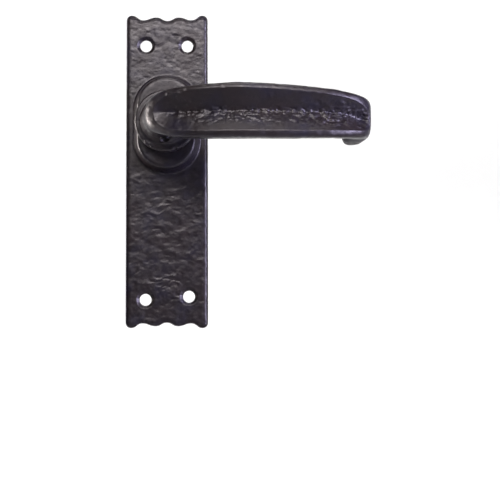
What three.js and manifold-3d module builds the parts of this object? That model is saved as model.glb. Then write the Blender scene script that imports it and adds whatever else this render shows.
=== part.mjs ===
// A sprung door lever handle on a long backplate, as an assembly of separate pieces.
//
// Millimetres, +Z up the plate, +X towards the lever's tip, and the front of the handle towards -Y. The
// origin is the centre of the plate's rear face, on the door. "Height" below always means height above the
// door, so a height h lies at y = -h.
import * as THREE from 'three';
import { mergeVertices } from 'three/addons/utils/BufferGeometryUtils.js';
import Module from 'manifold-3d';

const wasm = await Module();
wasm.setup();

// ---------- driving dimensions ----------

// Backplate
const PLATE_LENGTH = 152;
const PLATE_WIDTH = 39.8;
const PLATE_THICKNESS = 3.4;
const PLATE_EDGE_ROUND = 0.9;
const CORNER_RADIUS = 2.6;
const SCALLOP_DEPTH = 2.3;
const SCALLOP_FROM_SIDE = 8.05;
const MIDDLE_LOBE_DROP = 0.9;
const MIDDLE_LOBE_X = 5.4;
const END_NOTCH_DEPTH = 2.65;

// Screw holes, placed from the plate's nearest side and end; the lower pair was drilled a little unevenly
const SCREW_HOLE_RADIUS = 2.9;
const COUNTERSINK_RADIUS = 4.3;
const COUNTERSINK_DEPTH = 1.5;
const SCREW_HOLES = [
  { side: -1, end: 1, fromSide: 9.5, fromEnd: 14.9 },
  { side: 1, end: 1, fromSide: 10.2, fromEnd: 15 },
  { side: -1, end: -1, fromSide: 9.6, fromEnd: 13.7 },
  { side: 1, end: -1, fromSide: 9.2, fromEnd: 15.2 },
];

// Spindle axis and the boss that carries it: two round ends with straight sides between their centres
const SPINDLE_Z = 22.5;
const BOSS_HALF_STRAIGHT = 7.8;
const BOSS_WALL = 3.6;
const BOSS_TAPER = 1.3;
const BOSS_TOP = 11.6;
const BOSS_EDGE_ROUND = 1.7;
const BOSS_FILLET = 0.9;
const BOSS_WEB = 2.4;
const CAVITY_CLEARANCE = 0.3;

// Spindle, shank and running fits
const SPINDLE_SOCKET = 8.2;
const SOCKET_DEPTH = 26.7;
const SHANK_WALL = 1.7;
const SHANK_END = 0.3;
const SHANK_FLAT_DEPTH = 0.9;
const RUNNING_GAP = 0.15;
const FACE_GAP = 0.1;
const BUSH_WALL = 1.1;
const BUSH_FLANGE_WIDTH = 3.2;
const BUSH_FLANGE = 1.2;
const COLLAR_WASHER = 0.4;
const COLLAR_WASHER_WIDTH = 4.1;

// Clip, washer, cam and spring inside the boss, counted up from the door
const CLIP_START = 0.9;
const CLIP_THICKNESS = 1.0;
const CLIP_GROOVE_DEPTH = 0.6;
const CLIP_BAND = 2.25;
const BACK_WASHER = 0.8;
const BACK_WASHER_WIDTH = 2.7;
const CAM_THICKNESS = 1.5;
const CAM_WIDTH = 2.5;
const CAM_FINGER = 1.4;
const CAM_FINGER_REACH = 1.8;
const SPRING_WIRE_RADIUS = 0.6;
const SPRING_ROUND_SHANK = 1.4;
const SPRING_FULL_TURNS = 2;

// Stops: angles about the spindle axis, from +X towards +Z, in degrees
const CAM_FINGER_ANGLE = 90;
const CAM_FINGER_HALF = 12;
const LEVER_TRAVEL = 45;
const STOP_WIDTH = 15;
const STOP_GAP = 1.6;
const LEG_GAP = 4.5;

// Lever
const COLLAR_RADIUS = 14.9;
const COLLAR_THICKNESS = 6.2;
const COLLAR_BACK_CHAMFER = 1.4;
const COLLAR_EDGE_ROUND = 1.2;
const HOLLOW_DEPTH = 5.5;
const RIM_TOP = 2.3;
const RIM_BOTTOM = 3.2;
const GRUB_RADIUS = 2.5;
const GRUB_LENGTH = 5;
const GRUB_ABOVE_COLLAR = 4.3;
const GRUB_KEY = 2.5;

// The lever's neck, blade and rolled tip, as stations along it. inner is the side the fingers touch and outer
// is the side away from them, both as [x, height above the collar's back]; up and down are how far the section
// reaches above and below the spindle axis. back and front are how square the section is on its inner and its
// outer half (1 is an ellipse): the neck is round, and the blade has a flat front with crisp edges.
const LEVER_STATIONS = [
  { inner: [12.4, 4.7], outer: [-12.4, 4.7], up: 12.2, down: 12.2, back: 1, front: 1 },
  { inner: [8.5, 10.9], outer: [-10.9, 10.9], up: 9.4, down: 9.4, back: 1, front: 1 },
  { inner: [6.5, 16.9], outer: [-9.4, 16.9], up: 8.3, down: 8.3, back: 1, front: 1 },
  { inner: [6.6, 22.3], outer: [-8.7, 24], up: 8.6, down: 8.6, back: 1, front: 1 },
  { inner: [9.4, 27.5], outer: [-7.7, 31.5], up: 9.8, down: 9.9, back: 0.9, front: 0.85 },
  { inner: [14.5, 30.3], outer: [2.6, 38.3], up: 11.2, down: 12, back: 0.8, front: 0.45 },
  { inner: [22.5, 32.3], outer: [17.5, 43.9], up: 12.2, down: 12.8, back: 0.7, front: 0.35 },
  { inner: [34.5, 33.7], outer: [34.5, 46.8], up: 12.7, down: 13, back: 0.65, front: 0.35 },
  { inner: [49, 34.1], outer: [49, 45.8], up: 12.3, down: 12.9, back: 0.65, front: 0.35 },
  { inner: [63.5, 32.4], outer: [65, 43.3], up: 11.4, down: 12.6, back: 0.6, front: 0.35 },
  { inner: [75, 30.4], outer: [79, 39.5], up: 10.4, down: 12.1, back: 0.6, front: 0.35 },
  { inner: [81.6, 27], outer: [88.5, 34.8], up: 9.2, down: 11.7, back: 0.5, front: 0.4 },
  { inner: [84, 23.1], outer: [95.2, 27.5], up: 8, down: 11.2, back: 0.5, front: 0.42 },
  { inner: [84.1, 19.1], outer: [96.6, 20.5], up: 7, down: 10.8, back: 0.5, front: 0.45 },
  { inner: [82.4, 15], outer: [95.7, 15.7], up: 6.4, down: 11.8, back: 0.45, front: 0.5 },
  { inner: [83.6, 11.4], outer: [93.4, 12], up: 6.1, down: 12.5, back: 0.4, front: 0.5 },
  { inner: [86.9, 9.7], outer: [89.3, 9.8], up: 6, down: 12.6, back: 0.4, front: 0.5 },
];
// Where the hollow in the blade's front starts and ends, counted in stations
const HOLLOW_FROM = 4.4;
const HOLLOW_TO = 12.3;

// Fineness of round shapes
const ROUND_STEPS = 40;
const HOLE_STEPS = 24;
const LEVER_STEPS = 44;
const LEVER_SIDES = 20;
const HOLLOW_STEPS = 26;

// ---------- sizes that follow from them ----------

const SHANK_RADIUS = (SPINDLE_SOCKET / 2) * Math.SQRT2 + SHANK_WALL;
const SHANK_FLAT = SHANK_RADIUS - SHANK_FLAT_DEPTH;
const CLIP_GROOVE_RADIUS = SHANK_RADIUS - CLIP_GROOVE_DEPTH;
const SPRING_RADIUS = SHANK_RADIUS + SPRING_ROUND_SHANK + SPRING_WIRE_RADIUS;
const CAM_RADIUS = SHANK_RADIUS + CAM_WIDTH;
const CAM_FINGER_IN = SPRING_RADIUS + SPRING_WIRE_RADIUS + 2 * RUNNING_GAP;
const CAM_FINGER_OUT = CAM_FINGER_IN + CAM_FINGER;
const SPRING_LEG_END = CAM_FINGER_OUT - 2 * RUNNING_GAP;
const CAVITY_RADIUS = CAM_FINGER_OUT + CAVITY_CLEARANCE;
const BOSS_BASE_RADIUS = CAVITY_RADIUS + BOSS_WALL;
const CAVITY_TOP = BOSS_TOP - BOSS_WEB;
const BUSH_BORE_RADIUS = SHANK_RADIUS + RUNNING_GAP;
const BUSH_BARREL_RADIUS = BUSH_BORE_RADIUS + BUSH_WALL;
const BUSH_FLANGE_RADIUS = SHANK_RADIUS + BUSH_FLANGE_WIDTH;
const COLLAR_WASHER_RADIUS = SHANK_RADIUS + COLLAR_WASHER_WIDTH;
const BACK_WASHER_RADIUS = SHANK_RADIUS + BACK_WASHER_WIDTH;
const BUSH_HOLE_RADIUS = BUSH_BARREL_RADIUS + RUNNING_GAP;
const BUSH_FLANGE_BACK = BOSS_TOP + FACE_GAP;
const BUSH_FLANGE_FRONT = BUSH_FLANGE_BACK + BUSH_FLANGE;
const COLLAR_WASHER_BACK = BUSH_FLANGE_FRONT + FACE_GAP;
const COLLAR_WASHER_FRONT = COLLAR_WASHER_BACK + COLLAR_WASHER;
const COLLAR_BACK = COLLAR_WASHER_FRONT + FACE_GAP;
const COLLAR_FRONT = COLLAR_BACK + COLLAR_THICKNESS;
const SOCKET_END = SHANK_END + SOCKET_DEPTH;
const GRUB_HEIGHT = COLLAR_FRONT + GRUB_ABOVE_COLLAR;
const CLIP_FRONT = CLIP_START + CLIP_THICKNESS;
const BACK_WASHER_START = CLIP_FRONT + FACE_GAP;
const CAM_BACK = BACK_WASHER_START + BACK_WASHER + FACE_GAP;
const CAM_FRONT = CAM_BACK + CAM_THICKNESS;
const SPRING_FIRST_COIL = CAM_FRONT + 2 * FACE_GAP + SPRING_WIRE_RADIUS;
const SPRING_LAST_COIL = CAVITY_TOP - 2 * FACE_GAP - SPRING_WIRE_RADIUS;
const REST_STOP_START = CAM_FINGER_ANGLE + CAM_FINGER_HALF + STOP_GAP;
const TRAVEL_STOP_END = CAM_FINGER_ANGLE - CAM_FINGER_HALF - LEVER_TRAVEL - STOP_GAP;
const SPRING_MOVING_LEG = CAM_FINGER_ANGLE - CAM_FINGER_HALF - LEG_GAP;
const SPRING_FIXED_LEG = REST_STOP_START + STOP_WIDTH + LEG_GAP;

// ---------- solids ----------

// A closed three.js geometry as a solid: corners shared, and triangles with a repeated corner dropped.
function toSolid(geometry) {
  const bare = geometry.clone();
  bare.deleteAttribute('normal');
  bare.deleteAttribute('uv');
  const merged = mergeVertices(bare, 1e-4);
  const index = merged.index.array;
  const corners = [];
  for (let i = 0; i < index.length; i += 3) {
    const [a, b, c] = [index[i], index[i + 1], index[i + 2]];
    if (a !== b && b !== c && c !== a) corners.push(a, b, c);
  }
  const mesh = new wasm.Mesh({
    numProp: 3,
    vertProperties: Float32Array.from(merged.attributes.position.array),
    triVerts: Uint32Array.from(corners),
  });
  mesh.merge();
  return new wasm.Manifold(mesh);
}

function toGeometry(solid) {
  const mesh = solid.getMesh();
  const geometry = new THREE.BufferGeometry();
  geometry.setAttribute('position', new THREE.BufferAttribute(mesh.vertProperties, 3));
  geometry.setIndex(new THREE.BufferAttribute(mesh.triVerts, 1));
  geometry.computeVertexNormals();
  return geometry;
}

// A solid of revolution about the spindle's direction, from [radius, height] corners in either order.
function turned(corners, steps = ROUND_STEPS) {
  const points = corners.map(([radius, height]) => new THREE.Vector2(radius, -height));
  if (THREE.ShapeUtils.area(points) < 0) points.reverse();
  const onAxis = points[0].x === 0 && points[points.length - 1].x === 0;
  if (!onAxis) points.push(points[0].clone());
  return toSolid(new THREE.LatheGeometry(points, steps));
}

// A flat outline in (x, z), thickened between two heights above the door.
function slab(shape, from, to, curveSegments = HOLE_STEPS) {
  const depth = to - from;
  const geometry = new THREE.ExtrudeGeometry(shape, { depth, bevelEnabled: false, curveSegments });
  geometry.rotateX(Math.PI / 2);
  geometry.translate(0, -from, 0);
  return toSolid(geometry);
}

// A box from its lowest to its highest x, height and z.
function block([x0, h0, z0], [x1, h1, z1]) {
  const geometry = new THREE.BoxGeometry(x1 - x0, h1 - h0, z1 - z0);
  geometry.translate((x0 + x1) / 2, -(h0 + h1) / 2, (z0 + z1) / 2);
  return toSolid(geometry);
}

// A solid disc between two heights.
function disc(radius, from, to) {
  return turned([[0, from], [radius, from], [radius, to], [0, to]]);
}

// A ring between two radii and two heights.
function ring(inner, outer, from, to) {
  return turned([[inner, from], [outer, from], [outer, to], [inner, to]]);
}

// Part of a ring, between two angles about the spindle axis.
function sector(inner, outer, fromAngle, toAngle, from, to) {
  const [a, b] = [THREE.MathUtils.degToRad(fromAngle), THREE.MathUtils.degToRad(toAngle)];
  const shape = new THREE.Shape();
  shape.absarc(0, 0, outer, a, b, false);
  shape.absarc(0, 0, inner, b, a, true);
  shape.closePath();
  return slab(shape, from, to, 6);
}

// A quarter-round edge in a turned profile, from the outside to the flat end.
function roundedEdge(radius, height, round, steps = 3) {
  const corners = [];
  for (let i = 0; i <= steps; i += 1) {
    const angle = (i / steps) * (Math.PI / 2);
    corners.push([radius - round * (1 - Math.cos(angle)), height - round * (1 - Math.sin(angle))]);
  }
  return corners;
}

// ---------- backplate ----------

// One S-curve with level ends, from the pen to the next lobe or scallop.
function wave(shape, from, to) {
  const middle = (from.x + to.x) / 2;
  shape.bezierCurveTo(middle, from.z, middle, to.z, to.x, to.z);
}

// The lobes and scallops of the plate's upper end, from left to right.
function endPoints(halfWidth, halfLength) {
  const left = [
    { x: -(halfWidth - CORNER_RADIUS), z: halfLength },
    { x: -(halfWidth - SCALLOP_FROM_SIDE), z: halfLength - SCALLOP_DEPTH },
    { x: -MIDDLE_LOBE_X, z: halfLength - MIDDLE_LOBE_DROP },
    { x: 0, z: halfLength - END_NOTCH_DEPTH },
  ];
  const right = left.slice(0, 3).reverse().map(({ x, z }) => ({ x: -x, z }));
  return [...left, ...right];
}

function plateOutline() {
  const halfWidth = PLATE_WIDTH / 2;
  const halfLength = PLATE_LENGTH / 2;
  const upper = endPoints(halfWidth, halfLength);
  const lower = upper.map(({ x, z }) => ({ x: -x, z: -z }));
  const cornerX = halfWidth - CORNER_RADIUS;
  const cornerZ = halfLength - CORNER_RADIUS;
  const shape = new THREE.Shape();
  shape.moveTo(-halfWidth, cornerZ);
  shape.absarc(-cornerX, cornerZ, CORNER_RADIUS, Math.PI, Math.PI / 2, true);
  for (let i = 1; i < upper.length; i += 1) wave(shape, upper[i - 1], upper[i]);
  shape.absarc(cornerX, cornerZ, CORNER_RADIUS, Math.PI / 2, 0, true);
  shape.lineTo(halfWidth, -cornerZ);
  shape.absarc(cornerX, -cornerZ, CORNER_RADIUS, 0, -Math.PI / 2, true);
  for (let i = 1; i < lower.length; i += 1) wave(shape, lower[i - 1], lower[i]);
  shape.absarc(-cornerX, -cornerZ, CORNER_RADIUS, -Math.PI / 2, -Math.PI, true);
  shape.closePath();
  return shape;
}

// The plate with its front edge rounded: thickened past the door's plane and cut off there.
function plateSolid() {
  const below = 2;
  const geometry = new THREE.ExtrudeGeometry(plateOutline(), {
    depth: PLATE_THICKNESS + below - 2 * PLATE_EDGE_ROUND,
    bevelThickness: PLATE_EDGE_ROUND,
    bevelSize: PLATE_EDGE_ROUND,
    bevelOffset: -PLATE_EDGE_ROUND,
    bevelSegments: 2,
    curveSegments: 6,
  });
  geometry.rotateX(Math.PI / 2);
  geometry.translate(0, below - PLATE_EDGE_ROUND, 0);
  const reach = PLATE_LENGTH;
  return toSolid(geometry).subtract(block([-reach, -2 * below, -reach], [reach, 0, reach]));
}

// The boss: a tapered round one, parted level with the spindle axis and stretched to its straight sides.
function bossSolid() {
  const topRadius = BOSS_BASE_RADIUS - BOSS_TAPER;
  const foot = PLATE_THICKNESS / 2;
  const profile = [
    [0, foot],
    [BOSS_BASE_RADIUS + BOSS_FILLET, foot],
    [BOSS_BASE_RADIUS + BOSS_FILLET, PLATE_THICKNESS],
    [BOSS_BASE_RADIUS + BOSS_FILLET * 0.3, PLATE_THICKNESS + BOSS_FILLET * 0.3],
    [BOSS_BASE_RADIUS, PLATE_THICKNESS + BOSS_FILLET],
    ...roundedEdge(topRadius, BOSS_TOP, BOSS_EDGE_ROUND),
    [0, BOSS_TOP],
  ];
  const points = profile.map(([radius, height]) => new THREE.Vector2(radius, -height)).reverse();
  const geometry = new THREE.LatheGeometry(points, ROUND_STEPS, Math.PI / ROUND_STEPS);
  const position = geometry.attributes.position;
  for (let i = 0; i < position.count; i += 1) {
    const z = position.getZ(i);
    if (Math.abs(z) > 1e-6) position.setZ(i, z + Math.sign(z) * BOSS_HALF_STRAIGHT);
  }
  return toSolid(geometry);
}

function screwHole({ side, end, fromSide, fromEnd }) {
  const x = side * (PLATE_WIDTH / 2 - fromSide);
  const z = end * (PLATE_LENGTH / 2 - fromEnd);
  const seat = PLATE_THICKNESS - COUNTERSINK_DEPTH;
  const past = 1;
  const slope = (COUNTERSINK_RADIUS - SCREW_HOLE_RADIUS) / COUNTERSINK_DEPTH;
  const hole = turned([
    [0, -past],
    [SCREW_HOLE_RADIUS, -past],
    [SCREW_HOLE_RADIUS, seat],
    [COUNTERSINK_RADIUS + slope * past, PLATE_THICKNESS + past],
    [0, PLATE_THICKNESS + past],
  ], HOLE_STEPS);
  return hole.translate([x, 0, z]);
}

function backplate() {
  const intoWall = 0.6;
  const cavity = disc(CAVITY_RADIUS, -1, CAVITY_TOP);
  const bushHole = disc(BUSH_HOLE_RADIUS, 1, BOSS_TOP + 1);
  const restStop = sector(
    CAM_FINGER_IN, CAVITY_RADIUS + intoWall,
    REST_STOP_START, REST_STOP_START + STOP_WIDTH,
    CAM_BACK - FACE_GAP, CAVITY_TOP + intoWall,
  );
  const travelStop = sector(
    CAM_FINGER_IN, CAVITY_RADIUS + intoWall,
    TRAVEL_STOP_END - STOP_WIDTH, TRAVEL_STOP_END,
    CAM_BACK - FACE_GAP, CAM_FRONT,
  );
  const boss = bossSolid();
  let plate = plateSolid().add(boss.translate([0, 0, SPINDLE_Z]));
  const hollow = cavity.add(bushHole).subtract(restStop).subtract(travelStop);
  plate = plate.subtract(hollow.translate([0, 0, SPINDLE_Z]));
  for (const place of SCREW_HOLES) plate = plate.subtract(screwHole(place));
  return plate;
}

// ---------- pieces on the spindle axis, modelled about it ----------

function bearingBush() {
  return turned([
    [BUSH_BORE_RADIUS, CAVITY_TOP],
    [BUSH_BARREL_RADIUS, CAVITY_TOP],
    [BUSH_BARREL_RADIUS, BUSH_FLANGE_BACK],
    [BUSH_FLANGE_RADIUS, BUSH_FLANGE_BACK],
    [BUSH_FLANGE_RADIUS, BUSH_FLANGE_FRONT],
    [BUSH_BORE_RADIUS, BUSH_FLANGE_FRONT],
  ]);
}

function collarWasher() {
  return ring(BUSH_BORE_RADIUS, COLLAR_WASHER_RADIUS, COLLAR_WASHER_BACK, COLLAR_WASHER_FRONT);
}

function backWasher() {
  return ring(BUSH_BORE_RADIUS, BACK_WASHER_RADIUS, BACK_WASHER_START, BACK_WASHER_START + BACK_WASHER);
}

// The cam: a disc on the shank's two flats, with a finger that turns up towards the spring.
function driveCam() {
  const plate = disc(CAM_RADIUS, CAM_BACK, CAM_FRONT);
  const from = CAM_FINGER_ANGLE - CAM_FINGER_HALF;
  const to = CAM_FINGER_ANGLE + CAM_FINGER_HALF;
  const arm = sector(SHANK_RADIUS + 1, CAM_FINGER_OUT, from, to, CAM_BACK, CAM_FRONT);
  const finger = sector(CAM_FINGER_IN, CAM_FINGER_OUT, from, to, CAM_BACK, CAM_FRONT + CAM_FINGER_REACH);
  const bore = disc(BUSH_BORE_RADIUS, CAM_BACK - 1, CAM_FRONT + 1);
  const flat = SHANK_FLAT + RUNNING_GAP;
  const keyed = bore.intersect(block([-flat, CAM_BACK - 2, -CAM_RADIUS], [flat, CAM_FRONT + 2, CAM_RADIUS]));
  return plate.add(arm).add(finger).subtract(keyed);
}

// The external circlip, open at the bottom, with two round ears.
function retainingClip() {
  const inner = CLIP_GROOVE_RADIUS + RUNNING_GAP;
  const outer = inner + CLIP_BAND;
  const gapHalf = 2;
  const band = ring(inner, outer, CLIP_START, CLIP_FRONT);
  const gap = block([-gapHalf, CLIP_START - 1, -2 * outer], [gapHalf, CLIP_FRONT + 1, 0]);
  const earRadius = 1.5;
  const earHole = 0.6;
  let clip = band.subtract(gap);
  for (const side of [-1, 1]) {
    const ear = new THREE.Shape();
    ear.absarc(0, 0, earRadius, 0, 2 * Math.PI, false);
    const hole = new THREE.Path();
    hole.absarc(0, 0, earHole, 0, 2 * Math.PI, true);
    ear.holes.push(hole);
    const earX = side * (gapHalf + earRadius);
    const earZ = -(outer - 0.2);
    clip = clip.add(slab(ear, CLIP_START, CLIP_FRONT, 12).translate([earX, 0, earZ]));
  }
  return clip;
}

// The torsion spring's wire: a straight leg out of each end of the coil.
class SpringPath extends THREE.Curve {
  constructor() {
    super();
    this.start = THREE.MathUtils.degToRad(SPRING_MOVING_LEG);
    const fixed = THREE.MathUtils.degToRad(SPRING_FIXED_LEG);
    this.sweep = fixed - this.start + 2 * Math.PI * SPRING_FULL_TURNS;
    this.legShare = 0.03;
  }

  getPoint(t, target = new THREE.Vector3()) {
    const along = THREE.MathUtils.clamp((t - this.legShare) / (1 - 2 * this.legShare), 0, 1);
    const angle = this.start + this.sweep * along;
    const height = THREE.MathUtils.lerp(SPRING_FIRST_COIL, SPRING_LAST_COIL, along);
    const leg = Math.max(this.legShare - t, t - 1 + this.legShare, 0) / this.legShare;
    const radius = THREE.MathUtils.lerp(SPRING_RADIUS, SPRING_LEG_END, leg);
    return target.set(radius * Math.cos(angle), -height, radius * Math.sin(angle));
  }
}

function returnSpring() {
  const section = new THREE.Shape();
  section.absarc(0, 0, SPRING_WIRE_RADIUS, 0, 2 * Math.PI, false);
  const path = new SpringPath();
  return toSolid(new THREE.ExtrudeGeometry(section, {
    steps: 66, curveSegments: 4, bevelEnabled: false, extrudePath: path,
  }));
}

// ---------- lever ----------

// A station's values anywhere along the lever, on smooth curves through the listed ones.
class LeverShape {
  constructor(stations) {
    const curve = (pick) => new THREE.CatmullRomCurve3(stations.map(pick));
    this.last = stations.length - 1;
    this.inner = curve((s) => new THREE.Vector3(s.inner[0], -COLLAR_BACK - s.inner[1], 0));
    this.outer = curve((s) => new THREE.Vector3(s.outer[0], -COLLAR_BACK - s.outer[1], 0));
    this.reach = curve((s) => new THREE.Vector3(s.up, s.down, 0));
    this.corners = curve((s) => new THREE.Vector3(s.back, s.front, 0));
  }

  at(station) {
    const t = THREE.MathUtils.clamp(station / this.last, 0, 1);
    const inner = this.inner.getPoint(t);
    const outer = this.outer.getPoint(t);
    const reach = this.reach.getPoint(t);
    const corners = this.corners.getPoint(t);
    return { inner, outer, up: reach.x, down: reach.y, back: corners.x, front: corners.y };
  }
}

// A closed body along the lever. place(station, across, upward) puts a point of the unit circle in space.
function sweptAlong(from, to, sides, steps, place) {
  const geometry = new THREE.CylinderGeometry(1, 1, 1, sides, steps);
  const position = geometry.attributes.position;
  const point = new THREE.Vector3();
  for (let i = 0; i < position.count; i += 1) {
    point.fromBufferAttribute(position, i);
    const moved = place(THREE.MathUtils.lerp(from, to, point.y + 0.5), point.x, -point.z);
    position.setXYZ(i, moved.x, moved.y, moved.z);
  }
  return toSolid(geometry);
}

// Squares off a coordinate of the unit circle. A zero with rounding error stays zero, so that the seam closes.
function softened(value, corner) {
  const rounding = 1e-9;
  return Math.abs(value) < rounding ? 0 : Math.sign(value) * Math.abs(value) ** corner;
}

function leverBody(lever) {
  return sweptAlong(0, lever.last, LEVER_SIDES, LEVER_STEPS, (station, across, upward) => {
    const { inner, outer, up, down, back, front } = lever.at(station);
    const corner = across > 0 ? back : front;
    const point = inner.clone().lerp(outer, 0.5 - 0.5 * softened(across, corner));
    point.z = softened(upward, corner) * (upward > 0 ? up : down);
    return point;
  });
}

// The hollow in the blade's front: a diamond section whose inner half makes a valley level with the axis.
function hollowCutter(lever) {
  return sweptAlong(HOLLOW_FROM, HOLLOW_TO, 4, HOLLOW_STEPS, (station, across, upward) => {
    const share = (station - HOLLOW_FROM) / (HOLLOW_TO - HOLLOW_FROM);
    const fromEnd = Math.min(share, 1 - share);
    const full = Math.sqrt(1 - (1 - Math.min(fromEnd / 0.12, 1)) ** 2);
    const scale = 0.05 + 0.95 * full;
    const { inner, outer, up, down } = lever.at(station);
    const outward = outer.clone().sub(inner).normalize();
    const point = outer.clone().addScaledVector(outward, -across * HOLLOW_DEPTH * scale);
    point.z = upward > 0 ? upward * (up - RIM_TOP) * scale : upward * (down - RIM_BOTTOM) * scale;
    return point;
  });
}

function collar() {
  return turned([
    [0, COLLAR_BACK],
    [COLLAR_RADIUS - COLLAR_BACK_CHAMFER, COLLAR_BACK],
    [COLLAR_RADIUS, COLLAR_BACK + COLLAR_BACK_CHAMFER],
    ...roundedEdge(COLLAR_RADIUS, COLLAR_FRONT, COLLAR_EDGE_ROUND),
    [0, COLLAR_FRONT],
  ]);
}

// The shank behind the collar, with the clip's groove and the cam's two flats.
function shank() {
  const chamfer = 0.5;
  const round = turned([
    [0, SHANK_END],
    [SHANK_RADIUS - chamfer, SHANK_END],
    [SHANK_RADIUS, SHANK_END + chamfer],
    [SHANK_RADIUS, COLLAR_BACK + 1],
    [0, COLLAR_BACK + 1],
  ]);
  const grooveGap = FACE_GAP / 2;
  const groove = ring(CLIP_GROOVE_RADIUS, 2 * SHANK_RADIUS, CLIP_START - grooveGap, CLIP_FRONT + grooveGap);
  let cut = round.subtract(groove);
  for (const side of [-1, 1]) {
    const near = side * SHANK_FLAT;
    const far = side * 2 * SHANK_RADIUS;
    const flat = block(
      [Math.min(near, far), SHANK_END - 1, -SHANK_RADIUS - 1],
      [Math.max(near, far), CAM_FRONT + FACE_GAP, SHANK_RADIUS + 1],
    );
    cut = cut.subtract(flat);
  }
  return cut;
}

// A round cutter or pin along Z at the grub screw's place.
function grubCylinder(radius, low, high, sides = HOLE_STEPS) {
  const geometry = new THREE.CylinderGeometry(radius, radius, high - low, sides);
  geometry.rotateX(Math.PI / 2);
  geometry.translate(0, -GRUB_HEIGHT, (low + high) / 2);
  return toSolid(geometry);
}

function leverHandle() {
  const lever = new LeverShape(LEVER_STATIONS);
  const half = SPINDLE_SOCKET / 2;
  const socket = block([-half, SHANK_END - 1, -half], [half, SOCKET_END, half]);
  const grubHole = grubCylinder(GRUB_RADIUS + RUNNING_GAP, -2 * COLLAR_RADIUS, 0);
  return leverBody(lever)
    .subtract(hollowCutter(lever))
    .add(collar())
    .add(shank())
    .subtract(socket)
    .subtract(grubHole);
}

// The set screw, run in until it is clear of the spindle, with its hexagon socket downwards.
function grubScrew() {
  const tip = -(SPINDLE_SOCKET / 2 + 0.3);
  const head = tip - GRUB_LENGTH;
  const keyRadius = GRUB_KEY / Math.sqrt(3);
  return grubCylinder(GRUB_RADIUS, head, tip).subtract(grubCylinder(keyRadius, head - 1, head + 2.5, 6));
}

// ---------- assembly ----------

const IRON = { color: 0x2c2a2b, roughness: 0.5, metalness: 0.6 };
const NYLON = { color: 0x1b1b1c, roughness: 0.6, metalness: 0 };
const STEEL = { color: 0x8f9296, roughness: 0.35, metalness: 0.9 };
const SPRING_STEEL = { color: 0x5c5f63, roughness: 0.3, metalness: 0.9 };

function piece(name, solid, finish) {
  const mesh = new THREE.Mesh(toGeometry(solid), new THREE.MeshStandardMaterial(finish));
  mesh.name = name;
  return mesh;
}

const group = new THREE.Group();
group.add(piece('backplate', backplate(), IRON));

const onSpindle = new THREE.Group();
onSpindle.position.z = SPINDLE_Z;
onSpindle.add(piece('bearing_bush', bearingBush(), NYLON));
onSpindle.add(piece('collar_washer', collarWasher(), STEEL));
onSpindle.add(piece('lever_handle', leverHandle(), IRON));
onSpindle.add(piece('return_spring', returnSpring(), SPRING_STEEL));
onSpindle.add(piece('drive_cam', driveCam(), STEEL));
onSpindle.add(piece('back_washer', backWasher(), STEEL));
onSpindle.add(piece('retaining_clip', retainingClip(), SPRING_STEEL));
onSpindle.add(piece('grub_screw', grubScrew(), STEEL));
group.add(onSpindle);

export default group;
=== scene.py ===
"""A sprung lever handle on a long scalloped backplate, in black hammered cast iron.

It is built around its CAD frame, in metres: +Z up the plate, +X towards the lever's tip, and the front of
the handle towards -Y. The two castings are made again here as real iron castings, with a forged-looking
skin, soft edges and a rough valley in the lever's hollow. The pieces inside the boss are finer copies of
their CAD solids, and the spring is wound anew.
"""

from __future__ import annotations

import logging
import math
from dataclasses import dataclass, field
from enum import Enum
from typing import Callable, Sequence

import bmesh
import bpy
import numpy as np
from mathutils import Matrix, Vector
from mathutils.kdtree import KDTree


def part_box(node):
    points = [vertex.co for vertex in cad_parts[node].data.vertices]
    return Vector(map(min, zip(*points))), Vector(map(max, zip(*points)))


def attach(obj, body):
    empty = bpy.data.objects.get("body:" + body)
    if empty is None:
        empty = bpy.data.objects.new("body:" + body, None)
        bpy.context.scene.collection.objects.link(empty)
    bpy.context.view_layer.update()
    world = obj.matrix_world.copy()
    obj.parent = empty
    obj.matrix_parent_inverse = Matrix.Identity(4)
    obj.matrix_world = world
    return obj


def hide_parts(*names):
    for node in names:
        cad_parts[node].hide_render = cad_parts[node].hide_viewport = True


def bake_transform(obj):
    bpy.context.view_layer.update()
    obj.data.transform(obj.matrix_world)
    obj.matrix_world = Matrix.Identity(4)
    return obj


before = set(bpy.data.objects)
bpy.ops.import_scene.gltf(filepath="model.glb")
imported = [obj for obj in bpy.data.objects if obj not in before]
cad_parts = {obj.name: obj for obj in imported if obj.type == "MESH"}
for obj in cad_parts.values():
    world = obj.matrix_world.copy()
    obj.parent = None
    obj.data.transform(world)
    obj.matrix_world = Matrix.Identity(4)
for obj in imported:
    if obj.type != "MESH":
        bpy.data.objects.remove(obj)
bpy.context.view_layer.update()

LOG = logging.getLogger("lever_handle")
MM = 0.001

LATTICE_PRIMES = (73856093, 19349663, 83492791)
SEED_PRIME = 2654435761
SCRAMBLERS = ((15, 2246822519), (13, 3266489917))
SEED_SHIFT = 17.31
OCTAVE_FALL = 0.55
OCTAVE_STEP = 2.03
DOUBLES_GAP = 1e-7
CAD_GAP = 2e-6

Array = np.ndarray
Link = tuple[bpy.types.Node, str | int]
Span = tuple[float, float]


class Body(Enum):
    """The two bodies of the handle."""

    PLATE = "plate"
    LEVER = "lever"


class Slot(Enum):
    """The finishes that the handle's record names."""

    IRON = "black_cast_iron"
    NYLON = "black_nylon"
    ZINC = "zinc_plated_steel"
    BLACKED = "black_oxide_steel"
    SPRING = "spring_steel"


# ---------- colour and shader nodes ----------


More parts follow.
